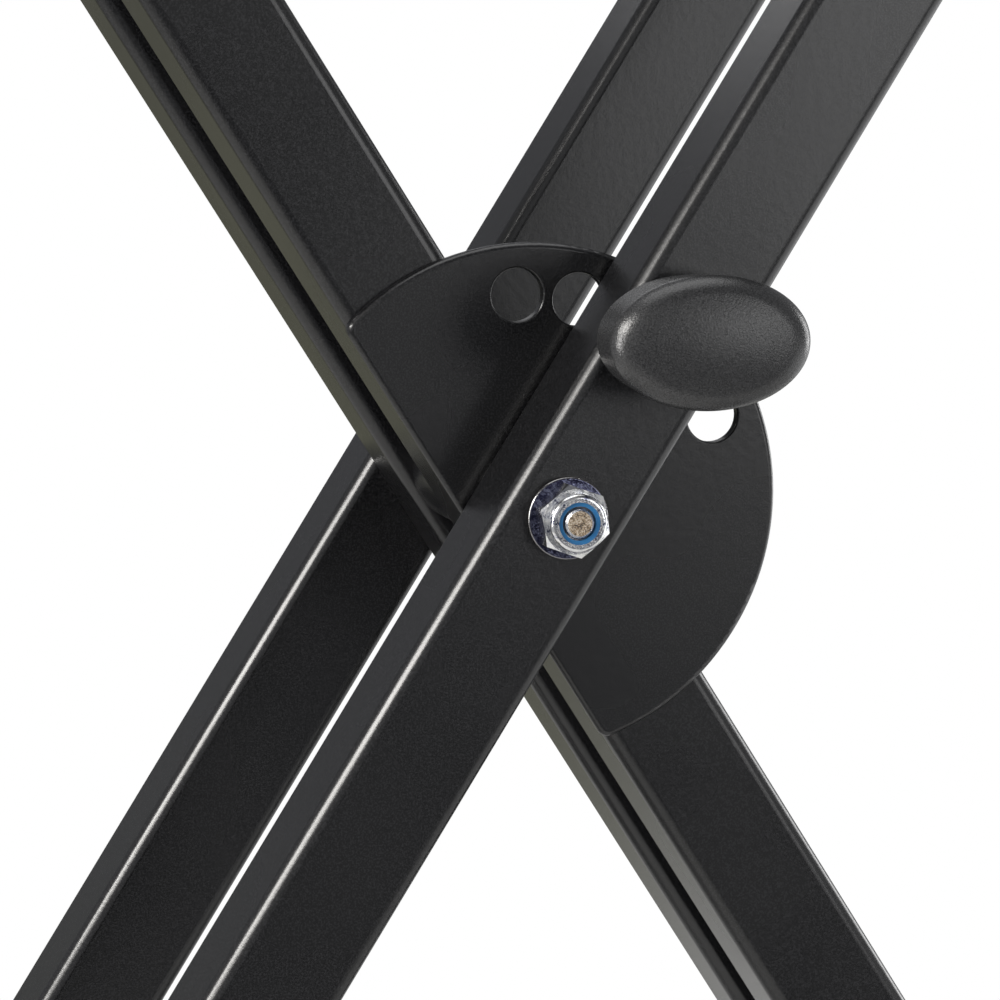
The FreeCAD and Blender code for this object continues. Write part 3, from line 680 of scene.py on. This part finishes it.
# %% Floor
floor_radius = 1.1
floor_drop = 0.0005
floor_segments = 96
fade_start_share = 0.55
fade_end_share = 0.98
pale_grey = (0.82, 0.82, 0.81, 1.0)
floor_mesh = bpy.data.meshes.new("floor")
floor_build = bmesh.new()
bmesh.ops.create_circle(floor_build, cap_ends=True, segments=floor_segments, radius=floor_radius)
floor_build.to_mesh(floor_mesh)
floor_build.free()
floor = bpy.data.objects.new("floor", floor_mesh)
floor.location = (0, 0, -floor_drop)
scene.collection.objects.link(floor)
floor_finish, floor_tree, floor_shader, floor_place = new_finish("pale_floor")
floor_shader.inputs["Base Color"].default_value = pale_grey
floor_shader.inputs["Roughness"].default_value = 0.9
floor_reach = add_node(floor_tree, "ShaderNodeVectorMath", operation="LENGTH")
fade = add_node(floor_tree, "ShaderNodeMapRange", interpolation_type="SMOOTHSTEP", To_Min=1.0, To_Max=0.0,
                From_Min=floor_radius * fade_start_share, From_Max=floor_radius * fade_end_share)
floor_tree.links.new(floor_place, floor_reach.inputs[0])
floor_tree.links.new(floor_reach.outputs["Value"], fade.inputs["Value"])
floor_tree.links.new(fade.outputs["Result"], floor_shader.inputs["Alpha"])
floor_mesh.materials.append(floor_finish)
show_finish(floor_finish)

# %% [markdown]
# ## World
# What satin paint mirrors decides how it looks, so the room around the stand matters as much as the
# lamps. A panorama picture could give that room, but a few ramps on the direction of a ray are easier
# to steer. A dim bluish grey turns olive behind and below, a second colour lifts both sides, a third
# is a window's glow at the front left, and the three are added up.

# %% Colours of the room
room_grey = (0.06, 0.063, 0.074)
room_olive = (0.1, 0.1, 0.045)
olive_direction = (0.0, 0.8, -0.6)
window_direction = (-0.25, -0.94, 0.22)
side_lift = 0.25
window_lift = 0.35
world = bpy.data.worlds.new("studio_world")
scene.world = world
world.use_nodes = True
world_tree = world.node_tree
world_tree.nodes.clear()
ray = world_tree.nodes.new("ShaderNodeTexCoord").outputs["Generated"]


def glow_toward(direction, stops):
    """A colour that depends on how nearly a ray runs in a direction."""
    nearness = add_node(world_tree, "ShaderNodeVectorMath", operation="DOT_PRODUCT")
    nearness.inputs[1].default_value = Vector(direction).normalized()
    world_tree.links.new(ray, nearness.inputs[0])
    return add_ramp(world_tree, nearness.outputs["Value"], stops)


def add_colours(first, second):
    """The sum of two colours."""
    total = add_node(world_tree, "ShaderNodeMix", data_type="RGBA", blend_type="ADD", Factor=1.0)
    world_tree.links.new(first, total.inputs["A"])
    world_tree.links.new(second, total.inputs["B"])
    return total.outputs["Result"]


room = glow_toward(olive_direction, [(0.72, room_grey), (0.92, room_olive)])
window = glow_toward(window_direction, [(0.9, 0.0), (0.97, window_lift)])
split = world_tree.nodes.new("ShaderNodeSeparateXYZ")
sideways = add_node(world_tree, "ShaderNodeMath", operation="ABSOLUTE")
world_tree.links.new(ray, split.inputs["Vector"])
world_tree.links.new(split.outputs["X"], sideways.inputs[0])
sides = add_ramp(world_tree, sideways.outputs["Value"], [(0.4, 0.0), (0.85, side_lift)])
room_colour = add_colours(add_colours(room, sides), window)
print("room of", len(world_tree.nodes), "nodes")

# %% [markdown]
# ## White background
# The camera sees plain white behind the stand, and so would a ray through anything clear. The paint
# must not, because a white room would turn black paint grey. A Light Path node therefore chooses
# between room and white for each kind of ray, and mirrored rays get a tenth of the white.

# %% Background by kind of ray
reflected_share = 0.1
sky = add_node(world_tree, "ShaderNodeBackground", Strength=1.0)
white = add_node(world_tree, "ShaderNodeBackground", Strength=1.0, Color=(1.0, 1.0, 1.0, 1.0))
kind = world_tree.nodes.new("ShaderNodeLightPath")
seen = add_node(world_tree, "ShaderNodeMath", operation="MULTIPLY_ADD", use_clamp=True)
seen.inputs[1].default_value = reflected_share
white_share = add_node(world_tree, "ShaderNodeMath", operation="ADD", use_clamp=True)
choose = world_tree.nodes.new("ShaderNodeMixShader")
world_out = world_tree.nodes.new("ShaderNodeOutputWorld")
world_tree.links.new(room_colour, sky.inputs["Color"])
world_tree.links.new(kind.outputs["Is Glossy Ray"], seen.inputs[0])
world_tree.links.new(kind.outputs["Is Camera Ray"], seen.inputs[2])
world_tree.links.new(seen.outputs["Value"], white_share.inputs[0])
world_tree.links.new(kind.outputs["Is Transmission Ray"], white_share.inputs[1])
world_tree.links.new(white_share.outputs["Value"], choose.inputs["Fac"])
world_tree.links.new(sky.outputs["Background"], choose.inputs[1])
world_tree.links.new(white.outputs["Background"], choose.inputs[2])
world_tree.links.new(choose.outputs["Shader"], world_out.inputs["Surface"])
print("world of", len(world_tree.nodes), "nodes")
